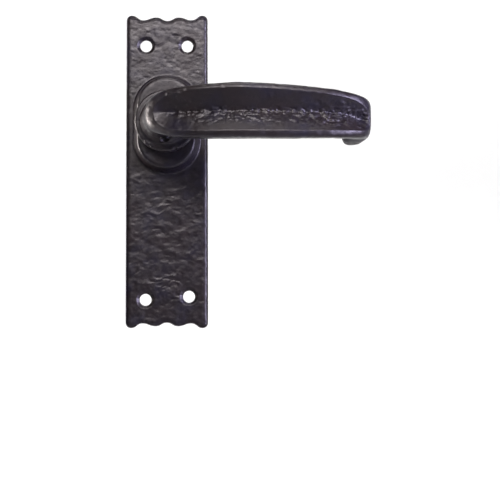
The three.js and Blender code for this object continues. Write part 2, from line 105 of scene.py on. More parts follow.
def colour(code: str) -> tuple[float, float, float, float]:
    """Turns an sRGB hex colour into linear RGBA.

    Args:
        code: Six hex digits, such as "2b282a".

    Returns:
        Linear red, green and blue, and an alpha of 1.
    """
    channels = [int(code[i : i + 2], 16) / 255 for i in (0, 2, 4)]
    linear = [c / 12.92 if c <= 0.04045 else ((c + 0.055) / 1.055) ** 2.4 for c in channels]
    return (linear[0], linear[1], linear[2], 1.0)


def add_node(
    tree: bpy.types.NodeTree,
    kind: str,
    settings: dict[str | int, object] | None = None,
    **links: Link,
) -> bpy.types.Node:
    """Adds one node with its settings and its incoming links.

    Args:
        tree: The node tree that the node joins.
        kind: The node's class name.
        settings: Values by name, each an input socket's name or index, or a property of the node.
        **links: For each input, with _ for a space in its name, the node and output that feed it. An input
            that is known by its number is written as input_0.

    Returns:
        The new node.
    """
    node = tree.nodes.new(kind)
    for name, value in (settings or {}).items():
        if isinstance(name, int) or name in node.inputs:
            node.inputs[name].default_value = value
        else:
            setattr(node, name, value)
    for name, (source, output) in links.items():
        key = int(name.removeprefix("input_")) if name.startswith("input_") else name.replace("_", " ")
        tree.links.new(source.outputs[output], node.inputs[key])
    return node


def new_material(name: str) -> tuple[bpy.types.Material, bpy.types.NodeTree, bpy.types.Node]:
    """Starts a material with Object coordinates.

    Args:
        name: The finish's plain name.

    Returns:
        The material, its empty node tree and its Texture Coordinate node.
    """
    material = bpy.data.materials.new(name)
    material.use_nodes = True
    tree = material.node_tree
    tree.nodes.clear()
    return material, tree, add_node(tree, "ShaderNodeTexCoord")


def close_material(tree: bpy.types.NodeTree, shader: bpy.types.Node) -> None:
    """Joins a finished shader to the material's output."""
    add_node(tree, "ShaderNodeOutputMaterial", Surface=(shader, "BSDF"))


# ---------- finishes ----------


@dataclass(frozen=True)
class BlackenedCastIron:
    """Sand-cast iron under thin satin black lacquer: nearly black, with a faint brown and violet tinge."""

    name: str = "satin black lacquered cast iron"
    lacquer: str = "1b161a"
    warm: str = "20191b"
    cool: str = "1a1724"
    # Paler colour for convex edges: rubbed wear together with a painted highlight of the glints on rounded
    # edges.
    wear_and_edge_highlight: str = "322d30"
    roughness: float = 0.37
    ior: float = 1.55
    skin_mm: float = 0.9
    pit_mm: float = 2.2
    cloud_mm: float = 14.0

    def material(self) -> bpy.types.Material:
        """Builds the lacquered iron: clouded colour, convex edges lightened as rubbed wear and as a painted
        highlight, and a fine pitted skin.

        Returns:
            The finished material.
        """
        material, tree, place = new_material(self.name)
        at = (place, "Object")
        cloud = add_node(
            tree,
            "ShaderNodeTexNoise",
            {"Scale": 1 / (self.cloud_mm * MM), "Detail": 4.0, "Roughness": 0.6},
            Vector=at,
        )
        tint = add_node(tree, "ShaderNodeValToRGB", Fac=(cloud, "Fac"))
        ramp = tint.color_ramp
        ramp.elements[0].position = 0.35
        ramp.elements[0].color = colour(self.warm)
        ramp.elements[1].position = 0.68
        ramp.elements[1].color = colour(self.cool)
        ramp.elements.new(0.5).color = colour(self.lacquer)
        # Convex edges, found by pointiness, are lightened: partly rubbed wear, partly a painted highlight
        # standing in for the bright glints along rounded edges.
        edge = add_node(tree, "ShaderNodeNewGeometry")
        lightened = add_node(
            tree,
            "ShaderNodeMapRange",
            {"From Min": 0.53, "From Max": 0.62, "To Min": 0.0, "To Max": 0.55},
            Value=(edge, "Pointiness"),
        )
        mixed = add_node(
            tree,
            "ShaderNodeMix",
            {"data_type": "RGBA", 7: colour(self.wear_and_edge_highlight)},
            input_0=(lightened, "Result"),
            input_6=(tint, "Color"),
        )
        skin = add_node(
            tree,
            "ShaderNodeTexNoise",
            {"Scale": 1 / (self.skin_mm * MM), "Detail": 5.0, "Roughness": 0.65},
            Vector=at,
        )
        pits = add_node(
            tree,
            "ShaderNodeTexNoise",
            {"Scale": 1 / (self.pit_mm * MM), "Detail": 3.0, "Roughness": 0.5},
            Vector=at,
        )
        smoothest, dullest = self.roughness - 0.08, self.roughness + 0.12
        sheen = add_node(
            tree,
            "ShaderNodeMapRange",
            {"From Min": 0.3, "From Max": 0.7, "To Min": smoothest, "To Max": dullest},
            Value=(pits, "Fac"),
        )
        coarse = add_node(
            tree, "ShaderNodeBump", {"Strength": 0.5, "Distance": 0.25 * MM}, Height=(pits, "Fac")
        )
        fine = add_node(
            tree,
            "ShaderNodeBump",
            {"Strength": 0.35, "Distance": 0.08 * MM},
            Height=(skin, "Fac"),
            Normal=(coarse, "Normal"),
        )
        shader = add_node(
            tree,
            "ShaderNodeBsdfPrincipled",
            {"Metallic": 0.0, "IOR": self.ior},
            Base_Color=(mixed, 2),
            Roughness=(sheen, "Result"),
            Normal=(fine, "Normal"),
        )
        close_material(tree, shader)
        return material


@dataclass(frozen=True)
class ZincPlatedSteel:
    """Turned or stamped steel under bright zinc: pale and slightly blue, with rings left by the tool."""

    name: str = "bright zinc plated steel"
    zinc: str = "b4b8be"
    dull: str = "8d9096"
    roughness: float = 0.3
    ring_mm: float = 0.35
    axis_z: float = 22.5

    def material(self) -> bpy.types.Material:
        """Builds the zinc plate with turning rings about the spindle axis.

        Returns:
            The finished material.
        """
        material, tree, place = new_material(self.name)
        centred = add_node(
            tree, "ShaderNodeMapping", {"Location": (0.0, 0.0, -self.axis_z * MM)}, Vector=(place, "Object")
        )
        rings = add_node(
            tree,
            "ShaderNodeTexWave",
            {
                "wave_type": "RINGS",
                "rings_direction": "Y",
                "Scale": 0.3 / (self.ring_mm * MM),
                "Distortion": 0.6,
                "Detail": 2.0,
            },
            Vector=(centred, "Vector"),
        )
        bloom = add_node(
            tree, "ShaderNodeTexNoise", {"Scale": 400.0, "Detail": 4.0}, Vector=(place, "Object")
        )
        mixed = add_node(
            tree,
            "ShaderNodeMix",
            {"data_type": "RGBA", 6: colour(self.zinc), 7: colour(self.dull)},
            input_0=(bloom, "Fac"),
        )
        rough = add_node(
            tree,
            "ShaderNodeMapRange",
            {"To Min": self.roughness - 0.06, "To Max": self.roughness + 0.1},
            Value=(bloom, "Fac"),
        )
        bump = add_node(
            tree, "ShaderNodeBump", {"Strength": 0.2, "Distance": 0.02 * MM}, Height=(rings, "Fac")
        )
        shader = add_node(
            tree,
            "ShaderNodeBsdfPrincipled",
            {"Metallic": 1.0},
            Base_Color=(mixed, 2),
            Roughness=(rough, "Result"),
            Normal=(bump, "Normal"),
        )
        close_material(tree, shader)
        return material


@dataclass(frozen=True)
class DrawnSpringSteel:
    """Hard-drawn wire and stamped spring strip, lightly oiled: dark grey metal with fine die marks."""

    name: str = "oiled drawn spring steel"
    steel: str = "6f7278"
    oil: str = "4a4642"
    roughness: float = 0.28
    mark_mm: float = 0.5

    def material(self) -> bpy.types.Material:
        """Builds the oiled steel.

        Returns:
            The finished material.
        """
        material, tree, place = new_material(self.name)
        marks = add_node(
            tree,
            "ShaderNodeTexNoise",
            {"Scale": 1 / (self.mark_mm * MM), "Detail": 3.0, "Roughness": 0.7},
            Vector=(place, "Object"),
        )
        mixed = add_node(
            tree,
            "ShaderNodeMix",
            {"data_type": "RGBA", 6: colour(self.steel), 7: colour(self.oil)},
            input_0=(marks, "Fac"),
        )
        rough = add_node(
            tree,
            "ShaderNodeMapRange",
            {"To Min": self.roughness - 0.08, "To Max": self.roughness + 0.12},
            Value=(marks, "Fac"),
        )
        bump = add_node(
            tree, "ShaderNodeBump", {"Strength": 0.25, "Distance": 0.02 * MM}, Height=(marks, "Fac")
        )
        shader = add_node(
            tree,
            "ShaderNodeBsdfPrincipled",
            {"Metallic": 1.0},
            Base_Color=(mixed, 2),
            Roughness=(rough, "Result"),
            Normal=(bump, "Normal"),
        )
        close_material(tree, shader)
        return material


@dataclass(frozen=True)
class BlackOxideSteel:
    """Hardened screw steel under black oxide: nearly black, with a dull sheen and no colour."""

    name: str = "black oxide screw steel"
    oxide: str = "1c1c1e"
    lightened: str = "2f2f32"
    roughness: float = 0.5
    speck_mm: float = 0.3

    def material(self) -> bpy.types.Material:
        """Builds the black oxide.

        Returns:
            The finished material.
        """
        material, tree, place = new_material(self.name)
        specks = add_node(
            tree,
            "ShaderNodeTexNoise",
            {"Scale": 1 / (self.speck_mm * MM), "Detail": 2.0},
            Vector=(place, "Object"),
        )
        mixed = add_node(
            tree,
            "ShaderNodeMix",
            {"data_type": "RGBA", 6: colour(self.oxide), 7: colour(self.lightened)},
            input_0=(specks, "Fac"),
        )
        bump = add_node(
            tree, "ShaderNodeBump", {"Strength": 0.2, "Distance": 0.02 * MM}, Height=(specks, "Fac")
        )
        shader = add_node(
            tree,
            "ShaderNodeBsdfPrincipled",
            {"Metallic": 1.0, "Roughness": self.roughness},
            Base_Color=(mixed, 2),
            Normal=(bump, "Normal"),
        )
        close_material(tree, shader)
        return material


@dataclass(frozen=True)
class MouldedNylon:
    """Injection-moulded black nylon: matt, with the faint grain of a spark-eroded mould."""

    name: str = "black moulded nylon"
    body: str = "1b1b1d"
    bloom: str = "262628"
    roughness: float = 0.52
    grain_mm: float = 0.4

    def material(self) -> bpy.types.Material:
        """Builds the nylon.

        Returns:
            The finished material.
        """
        material, tree, place = new_material(self.name)
        grain = add_node(
            tree,
            "ShaderNodeTexNoise",
            {"Scale": 1 / (self.grain_mm * MM), "Detail": 2.0},
            Vector=(place, "Object"),
        )
        mixed = add_node(
            tree,
            "ShaderNodeMix",
            {"data_type": "RGBA", 6: colour(self.body), 7: colour(self.bloom)},
            input_0=(grain, "Fac"),
        )
        bump = add_node(
            tree, "ShaderNodeBump", {"Strength": 0.3, "Distance": 0.03 * MM}, Height=(grain, "Fac")
        )
        shader = add_node(
            tree,
            "ShaderNodeBsdfPrincipled",
            {"Roughness": self.roughness, "IOR": 1.53},
            Base_Color=(mixed, 2),
            Normal=(bump, "Normal"),
        )
        close_material(tree, shader)
        return material


# ---------- numbers ----------


def smooth_step(low: float, high: float, value: Array) -> Array:
    """Rises smoothly from 0 at low to 1 at high."""
    t = np.clip((value - low) / (high - low), 0.0, 1.0)
    return t * t * (3 - 2 * t)


def arch(part: float) -> float:
    """Height of a quarter circle that rises from 0 at 0 to 1 at 1, and stays there."""
    return math.sqrt(1 - (1 - min(max(part, 0.0), 1.0)) ** 2)


def lumps(points: Array, size: float | Sequence[float], seed: int) -> Array:
    """Smooth random lumps, the same on every run.

    Args:
        points: Places in millimetres, one row each.
        size: How far apart lumps lie in millimetres, one value or one for each axis.
        seed: Picks the pattern.

    Returns:
        A height from -1 to 1 for each place.
    """
    scaled = points / np.asarray(size, float) + seed * SEED_SHIFT
    cell = np.floor(scaled).astype(np.int64)
    part = scaled - cell
    ease = part**3 * (part * (part * 6 - 15) + 10)
    total = np.zeros(len(points))
    for corner in np.ndindex(2, 2, 2):
        lattice = (cell + np.array(corner)) * np.array(LATTICE_PRIMES)
        mixed = lattice[:, 0] ^ lattice[:, 1] ^ lattice[:, 2] ^ (seed * SEED_PRIME)
        mixed &= 0xFFFFFFFF
        for shift, factor in SCRAMBLERS:
            mixed = ((mixed ^ (mixed >> shift)) * factor) & 0xFFFFFFFF
        value = (mixed ^ (mixed >> 16)) / 0x7FFFFFFF - 1.0
        share = np.prod(np.where(np.array(corner) == 1, ease, 1 - ease), axis=1)
        total += value * share
    return total


@dataclass(frozen=True)
class Grain:
    """One pattern of random lumps: how far apart they lie in millimetres, its seed and its octaves."""

    size: float | tuple[float, float, float]
    seed: int
    octaves: int = 1

    def at(self, points: Array) -> Array:
        """Gives the pattern's height, each finer size adding a little over half the height of the last.

        Args:
            points: Places in millimetres, one row each.

        Returns:
            A height about zero for each place.
        """
        total = np.zeros(len(points))
        height = 1.0
        scale = np.asarray(self.size, float)
        for octave in range(self.octaves):
            total += height * lumps(points, scale, self.seed + octave)
            height *= OCTAVE_FALL
            scale = scale / OCTAVE_STEP
        return total


class RailCurve:
    """A centripetal Catmull-Rom curve, as the CAD lever's rails are."""

    def __init__(self, points: Sequence[Sequence[float]]) -> None:
        """Keeps the points, with one more at each end, reflected.

        Args:
            points: The places that the curve passes through.
        """
        rows = np.array(points, float)
        self.points = np.vstack([2 * rows[0] - rows[1], rows, 2 * rows[-1] - rows[-2]])
        self.spans = len(rows) - 1

    def at(self, station: float) -> Array:
        """Finds one point of the curve.

        Args:
            station: Where the point lies, where each whole number is one of the curve's own points.

        Returns:
            The point.
        """
        span = min(int(math.floor(station)), self.spans - 1)
        t = station - span
        p0, p1, p2, p3 = self.points[span : span + 4]
        steps = ((p0, p1), (p1, p2), (p2, p3))
        d0, d1, d2 = (max(float(np.sum((b - a) ** 2)) ** 0.25, 1e-4) for a, b in steps)
        m1 = ((p1 - p0) / d0 - (p2 - p0) / (d0 + d1) + (p2 - p1) / d1) * d1
        m2 = ((p2 - p1) / d1 - (p3 - p1) / (d1 + d2) + (p3 - p2) / d2) * d1
        return (
            p1
            + m1 * t
            + (-3 * p1 + 3 * p2 - 2 * m1 - m2) * t**2
            + (2 * p1 - 2 * p2 + m1 + m2) * t**3
        )


# ---------- meshes ----------


def link_mesh(name: str, mesh: bpy.types.Mesh) -> bpy.types.Object:
    """Puts a mesh in the scene as an object at the origin.

    Args:
        name: The object's name.
        mesh: Its mesh.

    Returns:
        The new object.
    """
    obj = bpy.data.objects.new(name, mesh)
    bpy.context.scene.collection.objects.link(obj)
    return obj


def merge(mesh: bpy.types.Mesh, gap: float, outwards: bool) -> None:
    """Merges a mesh's doubled points.

    Args:
        mesh: The mesh, which is changed.
        gap: How far apart doubles may lie, in metres.
        outwards: Whether its faces are turned outwards as well.
    """
    work = bmesh.new()
    work.from_mesh(mesh)
    bmesh.ops.remove_doubles(work, verts=work.verts, dist=gap)
    if outwards:
        bmesh.ops.recalc_face_normals(work, faces=work.faces)
    work.to_mesh(mesh)
    work.free()


def object_from(name: str, corners: Array, faces: Sequence[Sequence[int]]) -> bpy.types.Object:
    """Makes an object from corners and faces, with its doubles merged and its faces turned outwards.

    Args:
        name: The object's name.
        corners: The corners in millimetres, one row each.
        faces: The corners of each face, by number.

    Returns:
        The new object.
    """
    mesh = bpy.data.meshes.new(name)
    mesh.from_pydata((np.asarray(corners) * MM).tolist(), [], [list(f) for f in faces])
    merge(mesh, DOUBLES_GAP, True)
    return link_mesh(name, mesh)


def applied(obj: bpy.types.Object) -> bpy.types.Object:
    """Turns an object's modifiers into its own plain mesh.

    Args:
        obj: The object, which loses its modifiers and its old mesh.

    Returns:
        The same object.
    """
    depsgraph = bpy.context.evaluated_depsgraph_get()
    mesh = bpy.data.meshes.new_from_object(obj.evaluated_get(depsgraph))
    obj.modifiers.clear()
    old = obj.data
    obj.data = mesh
    mesh.name = obj.name
    if old.users == 0:
        bpy.data.meshes.remove(old)
    return obj


def combined(base: bpy.types.Object, other: bpy.types.Object, how: str) -> bpy.types.Object:
    """Joins two solids or cuts one from the other, and removes the second.

    Args:
        base: The solid that is kept and changed.
        other: The solid that is joined to it or cut from it.
        how: UNION or DIFFERENCE.

    Returns:
        The changed base.
    """
    modifier = base.modifiers.new("cut", "BOOLEAN")
    modifier.operation = how
    modifier.solver = "MANIFOLD"
    modifier.object = other
    applied(base)
    bpy.data.objects.remove(other)
    return base


def swept(
    name: str, stations: Array, sides: int, place: Callable[[float, Array], Array]
) -> bpy.types.Object:
    """Makes a closed body along a row of stations.

    Args:
        name: The object's name.
        stations: Where along the body each ring stands.
        sides: How many corners a ring has.
        place: Gives a ring's corners in millimetres, from its station and the angles round it.

    Returns:
        The body.
    """
    turns = np.linspace(0, 2 * math.pi, sides, endpoint=False)
    rings = [place(float(s), turns) for s in stations]
    corners = np.vstack([*rings, rings[0].mean(axis=0), rings[-1].mean(axis=0)])
    last = len(rings) - 1
    faces: list[tuple[int, ...]] = []
    for ring in range(last):
        for side in range(sides):
            after = (side + 1) % sides
            low, high = ring * sides, (ring + 1) * sides
            faces.append((low + side, low + after, high + after, high + side))
    first_cap = len(rings) * sides
    for side in range(sides):
        after = (side + 1) % sides
        faces.append((first_cap, side, after))
        faces.append((first_cap + 1, last * sides + side, last * sides + after))
    return object_from(name, corners, faces)


def turned(
    name: str, profile: Sequence[Sequence[float]], axis_z: float, sides: int = 128
) -> bpy.types.Object:
    """Turns a solid about the spindle axis.

    Args:
        name: The object's name.
        profile: Closed outline as radius and height above the door, in millimetres.
        axis_z: Height of the spindle axis up the plate, in millimetres.
        sides: How many steps the turn has.

    Returns:
        The turned solid.
    """
    corners = []
    for step in range(sides):
        angle = 2 * math.pi * step / sides
        corners += [(r * math.cos(angle), -h, axis_z + r * math.sin(angle)) for r, h in profile]
    count = len(profile)
    faces = []
    for step in range(sides):
        near, far = step * count, ((step + 1) % sides) * count
        for i in range(count):
            j = (i + 1) % count
            if max(profile[i][0], profile[j][0]) > 0:
                faces.append((near + i, near + j, far + j, far + i))
    return object_from(name, np.array(corners), faces)


def block(name: str, low: Sequence[float], high: Sequence[float]) -> bpy.types.Object:
    """Makes a box between two corners.

    Args:
        name: The object's name.
        low: One corner, as x, height above the door, and z, in millimetres.
        high: The opposite corner.

    Returns:
        The box.
    """
    xs, hs, zs = zip(low, high)
    corners = [(x, -h, z) for x in xs for h in hs for z in zs]
    faces = [(0, 1, 3, 2), (4, 6, 7, 5), (0, 4, 5, 1), (2, 3, 7, 6), (0, 2, 6, 4), (1, 5, 7, 3)]
    return object_from(name, np.array(corners), faces)


def cad_copy(name: str, node: str) -> bpy.types.Object:
    """Copies a CAD node's mesh, merged, so that it can be changed.

    Args:
        name: The new object's name.
        node: The CAD node.

    Returns:
        The new object, without materials.
    """
    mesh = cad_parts[node].data.copy()
    mesh.materials.clear()
    merge(mesh, CAD_GAP, False)
    return link_mesh(name, mesh)


def cast_skin(obj: bpy.types.Object, grain: float, smoothing: int) -> bpy.types.Object:
    """Remakes a solid as one even skin with soft edges, as sand casting leaves it.

    Args:
        obj: The closed solid.
        grain: Size of the skin's faces, in millimetres.
        smoothing: How many times the skin is relaxed.

    Returns:
        The same object with its new mesh.
    """
    remesh = obj.modifiers.new("skin", "REMESH")
    remesh.mode = "VOXEL"
    remesh.voxel_size = grain * MM
    relax = obj.modifiers.new("relax", "SMOOTH")
    relax.factor = 0.5
    relax.iterations = smoothing
    return applied(obj)


def read_mesh(mesh: bpy.types.Mesh) -> tuple[Array, Array]:
    """Reads a mesh's points and normals.

    Args:
        mesh: The mesh.

    Returns:
        Its points in millimetres and its unit normals, one row each.
    """
    points = np.empty(len(mesh.vertices) * 3)
    normals = np.empty(len(mesh.vertices) * 3)
    mesh.vertices.foreach_get("co", points)
    mesh.vertices.foreach_get("normal", normals)
    return points.reshape(-1, 3) / MM, normals.reshape(-1, 3)


def write_mesh(mesh: bpy.types.Mesh, points: Array) -> None:
    """Moves a mesh's points, given in millimetres."""
    mesh.vertices.foreach_set("co", (points * MM).ravel())
    mesh.update()


def fitted(points: Array, node: str, axes: Sequence[int]) -> Array:
    """Brings a smoothed skin back to the full size of its CAD solid.

    Args:
        points: The skin's points in millimetres, one row each.
        node: The CAD node whose box the skin fills.
        axes: Which axes are stretched.

    Returns:
        The stretched points.
    """
    low, high = (np.array(corner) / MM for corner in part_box(node))
    stretched = points.copy()
    for axis in axes:
        near, far = points[:, axis].min(), points[:, axis].max()
        part = (points[:, axis] - near) / (far - near)
        stretched[:, axis] = low[axis] + part * (high[axis] - low[axis])
    return stretched


def dress(obj: bpy.types.Object, material: bpy.types.Material, smooth_angle: float = 180.0) -> None:
    """Gives a piece its one material and smooth shading.

    Args:
        obj: The piece.
        material: Its finish.
        smooth_angle: The angle in degrees above which an edge stays sharp.
    """
    obj.data.materials.clear()
    obj.data.materials.append(material)
    obj.data.polygons.foreach_set("material_index", [0] * len(obj.data.polygons))
    obj.data.shade_smooth()
    if smooth_angle < 180:
        obj.data.set_sharp_from_angle(angle=math.radians(smooth_angle))


def hand_over(obj: bpy.types.Object, body: Body, slot: Slot, node: str) -> None:
    """Puts a finished piece on its body, in place of its CAD node.

    Args:
        obj: The piece.
        body: The body that carries it.
        slot: The finish that the record gives it; not used.
        node: The CAD node that it replaces.
    """
    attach(obj, body.value)
    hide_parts(node)
    LOG.info("%s: %d faces on %s", obj.name, len(obj.data.polygons), body.value)


# ---------- the backplate ----------


@dataclass
class Backplate:
    """The long plate with its boss: one casting, hammered on the flat and smooth on the boss."""

    iron: bpy.types.Material
    spindle_z: float = 22.5
    half_straight: float = 7.8
    boss_radius: float = 16.7
    grain: float = 0.42
    smoothing: int = 3
    edge_width: float = 2.8
    edge_fall: float = 0.9
    front: float = 4.4
    dent_depth: float = 0.36
    wrinkle_depth: float = 0.32
    pit_depth: float = 0.35
    fine_depth: float = 0.06
    mean_fall: float = 0.5
    side_wander: float = 0.45
    facing: Span = (0.35, 0.8)
    foot_fade: Span = (0.0, 2.5)
    face_fade: Span = (1.5, 0.4)
    low_half: Span = (8.0, -20.0)
    warp: float = 1.6
    warp_across: Grain = Grain(6.0, 31)
    warp_up: Grain = Grain(5.0, 32)
    dents: Grain = Grain((13.0, 10.0, 9.0), 11, 2)
    mottle: Grain = Grain((5.2, 6.0, 3.4), 15, 3)
    wrinkles: Grain = Grain((7.0, 8.0, 3.4), 21, 3)
    clusters: Grain = Grain((10.0, 10.0, 7.0), 41)
    fine: Grain = Grain((2.4, 2.0, 1.4), 51, 2)
    pits: Grain = Grain(2.6, 57)
    pits_z: float = 66.0
    pits_reach: Span = (9.0, 5.0)

    def build(self) -> bpy.types.Object:
        """Makes the casting and puts it on the plate's body.

        Returns:
            The finished casting.
        """
        plate = cast_skin(cad_copy("hammered_backplate", "backplate"), self.grain, self.smoothing)
        points, normals = read_mesh(plate.data)
        points = fitted(points, "backplate", (0, 2))
        front = smooth_step(*self.facing, -normals[:, 1])
        points[:, 1] += front * self.fall(points)
        points[:, 0] -= self.wander(points)
        write_mesh(plate.data, points)
        dress(plate, self.iron)
        hand_over(plate, Body.PLATE, Slot.IRON, "backplate")
        return plate

    def wander(self, points: Array) -> Array:
        """Finds how far the right-hand side wanders inwards, mostly near the top.

        Args:
            points: Places in millimetres, one row each.

        Returns:
            A distance in millimetres for each place.
        """
        share = np.clip((points[:, 0] - 8) / 12, 0, 1) * smooth_step(-75, 75, points[:, 2])
        return self.side_wander * share * (0.85 + 0.15 * lumps(points * [0, 0, 1], 14.0, 5))

    def beside_boss(self, points: Array) -> Array:
        """Measures how far each point lies outside the boss's foot.

        Args:
            points: Places in millimetres, one row each.

        Returns:
            A distance in millimetres for each place, below zero on the boss.
        """
        up = points[:, 2] - self.spindle_z
        past = np.maximum(np.abs(up) - self.half_straight, 0)
        return np.hypot(points[:, 0], past) - self.boss_radius

    def edge_distance(self, points: Array) -> Array:
        """Measures how far each point lies from the plate's outline.

        Args:
            points: Places in millimetres, one row each.

        Returns:
            A distance in millimetres for each place.
        """
        low, high = (np.array(corner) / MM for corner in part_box("backplate"))
        rear = np.array([v.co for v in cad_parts["backplate"].data.vertices]) / MM
        on_rear = rear[rear[:, 1] > -0.01]
        side = np.abs(np.abs(on_rear[:, 0]) - high[0]) < 0.05
        end = np.abs(on_rear[:, 2]) > high[2] - 4
        outline = on_rear[side | end]
        ladder = np.arange(low[2] + 2, high[2] - 2, 0.5)
        walls = [(x, 0.0, z) for x in (low[0], high[0]) for z in ladder]
        ring = np.vstack([outline, walls])
        tree = KDTree(len(ring))
        for i, place in enumerate(ring):
            tree.insert((place[0], 0.0, place[2]), i)
        tree.balance()
        return np.array([tree.find((p[0], 0.0, p[2]))[2] for p in points])

    def fall(self, points: Array) -> Array:
        """Finds how far the front skin falls back towards the door: rolled edges, dents, ledges and pits.

        Args:
            points: Places in millimetres, one row each.

        Returns:
            A depth in millimetres for each place.
        """
        flat = points * [1, 0, 1]
        hammered = smooth_step(*self.foot_fade, self.beside_boss(points))
        on_plate = smooth_step(*(self.front + above for above in self.face_fade), -points[:, 1])
        edge = 1 - np.clip(self.edge_distance(points) / self.edge_width, 0, 1)
        low_half = smooth_step(*self.low_half, flat[:, 2])
        shift = [self.warp_across.at(flat), np.zeros(len(flat)), self.warp_up.at(flat)]
        warped = flat + self.warp * np.stack(shift, axis=1)
        mottle = (0.17 + 0.19 * low_half) * self.mottle.at(warped)
        wrinkle = np.clip(1 - 1.5 * np.abs(self.wrinkles.at(warped)), 0, 1) ** 1.5
        clusters = smooth_step(0.15, 0.7, self.clusters.at(flat))
        ledges = wrinkle * clusters * (0.25 + 0.75 * low_half)
        waves = self.dent_depth * (0.32 * self.dents.at(warped) + mottle)
        waves += self.fine_depth * self.fine.at(flat)
        from_pits = np.hypot(flat[:, 0], flat[:, 2] - self.pits_z)
        spots = smooth_step(0.5, 0.75, self.pits.at(flat)) * smooth_step(*self.pits_reach, from_pits)
        own = waves - self.wrinkle_depth * ledges + self.pit_depth * spots
        return on_plate * (self.mean_fall + hammered * own) + self.edge_fall * edge**2


# ---------- the lever ----------


@dataclass(frozen=True)
class Station:
    """One section of the lever, in millimetres from the spindle's axis and the collar's rear face.

    The inner and outer points lie on the door side and the far side. The section reaches up and down from the
    line between them, and its back and front are squarer the lower their values are.
    """

    inner: Span
    outer: Span
    up: float
    down: float
    back: float
    front: float


@dataclass
class Lever:
    """The lever: collar, neck, hollow-fronted blade and rolled tip in one casting, with a machined shank."""

    iron: bpy.types.Material
    spindle_z: float = 22.5
    collar_back: float = 13.5
    collar_thickness: float = 6.2
    collar_radius: float = 14.9
    collar_edge: float = 1.2
    collar_chamfer: float = 1.4
    shank_radius: float = 7.5
    shank_back: float = 0.3
    shank_lead: float = 0.5
    shank_overlap: float = 1.5
    groove: Span = (0.85, 1.95)
    groove_depth: float = 0.6
    flat_depth: float = 0.9
    flat_height: float = 4.5
    socket: float = 8.2
    socket_end: float = 27.0
    grub_height: float = 24.0
    grub_radius: float = 2.65
    hollow_depth: float = 5.6
    hollow_from: float = 4.42
    hollow_open: float = 5.1
    hollow_to: float = 12.15
    close_above: float = 10.3
    close_below: float = 11.4
    hollow_sag: float = 3.0
    sag_from: float = 10.2
    sag_over: float = 1.95
    rim_thins: Span = (5.6, 7.0)
    rim_start: float = 3.3
    rim_top: float = 2.3
    rim_tip: float = 3.1
    rim_bottom: float = 3.0
    grain: float = 0.4
    smoothing: int = 2
    rings_a_station: int = 15
    blade_sides: int = 112
    hollow_rings: int = 150
    hollow_sides: int = 48
    facing: Span = (0.2, 0.6)
    skin: Grain = Grain((6.5, 5.0, 4.5), 61, 3)
    skin_depth: float = 0.2
    pores: Grain = Grain(1.6, 65)
    pore_depth: float = 0.06
    valley_depth: Span = (0.9, 2.2)
    valley_from: float = -6.0
    pecks: Grain = Grain((1.9, 1.8, 1.3), 81, 2)
    peck_height: float = 0.34
    streaks: Grain = Grain((9.0, 30.0, 5.0), 71)
    band_bottom: Span = (-8.5, -3.0)
    band_top: Span = (3.0, 0.5)
    band_start: Span = (2.0, 14.0)
    ridge: Grain = Grain((2.0, 2.0, 2.2), 87, 3)
    ridge_height: float = 0.42
    ridge_drop: float = 0.6
    ridge_width: Span = (2.2, 0.5)
    ridge_start: Span = (0.0, 8.0)
    knobs: Grain = Grain((3.2, 2.6, 2.4), 85, 2)
    knob_height: float = 0.4
    knobs_start: Span = (66.0, 76.0)
    rim_chips: Grain = Grain((3.0, 3.0, 1.6), 95)
    rim_chip_depth: float = 0.5
    rim_depth: Span = (0.9, 0.2)
    rim_above: Span = (5.0, 8.0)
    rim_end: Span = (45.0, 10.0)
    rim_from: float = -8.0
    collar_chips: Grain = Grain(2.6, 91)
    collar_chip_depth: float = 0.75
    collar_chip_arc: Span = (185.0, 300.0)
    collar_band: Span = (2.2, 0.6)
    collar_face: Span = (2.6, 0.8)
    stations: tuple[Station, ...] = (
        Station((12.4, 4.7), (-12.4, 4.7), 12.2, 12.2, 1.0, 1.0),
        Station((8.5, 10.9), (-10.9, 10.9), 9.4, 9.4, 1.0, 1.0),
        Station((6.5, 16.9), (-9.4, 16.9), 8.3, 8.3, 1.0, 1.0),
        Station((6.6, 22.3), (-8.7, 24.0), 8.6, 8.6, 1.0, 1.0),
        Station((9.4, 27.5), (-7.7, 31.5), 9.8, 9.9, 0.9, 0.85),
        Station((14.5, 30.3), (2.6, 38.3), 11.2, 12.0, 0.8, 0.45),
        Station((22.5, 32.3), (17.5, 43.9), 12.2, 12.8, 0.7, 0.35),
        Station((34.5, 33.7), (34.5, 46.8), 12.7, 13.0, 0.65, 0.35),
        Station((49.0, 34.1), (49.0, 45.8), 12.3, 12.9, 0.65, 0.35),
        Station((63.5, 32.4), (65.0, 43.3), 11.4, 12.6, 0.6, 0.35),
        Station((75.0, 30.4), (79.0, 39.5), 10.4, 12.1, 0.6, 0.35),
        Station((81.6, 27.0), (88.5, 34.8), 9.2, 11.7, 0.5, 0.4),
        Station((84.0, 23.1), (95.2, 27.5), 8.0, 11.2, 0.5, 0.42),
        Station((84.1, 19.1), (96.6, 20.5), 7.0, 10.8, 0.5, 0.45),
        Station((82.4, 15.0), (95.7, 15.7), 6.4, 11.8, 0.45, 0.5),
        Station((83.6, 11.4), (93.4, 12.0), 6.1, 12.5, 0.35, 0.5),
        Station((86.9, 9.7), (89.3, 9.8), 6.0, 12.6, 0.35, 0.5),
    )
    inner: RailCurve = field(init=False)
    outer: RailCurve = field(init=False)
    reach: RailCurve = field(init=False)
    corners: RailCurve = field(init=False)

    def __post_init__(self) -> None:
        """Draws the lever's rails through its stations."""
        self.inner = RailCurve([(*s.inner, 0.0) for s in self.stations])
        self.outer = RailCurve([(*s.outer, 0.0) for s in self.stations])
        self.reach = RailCurve([(s.up, s.down, 0.0) for s in self.stations])
        self.corners = RailCurve([(s.back, s.front, 0.0) for s in self.stations])

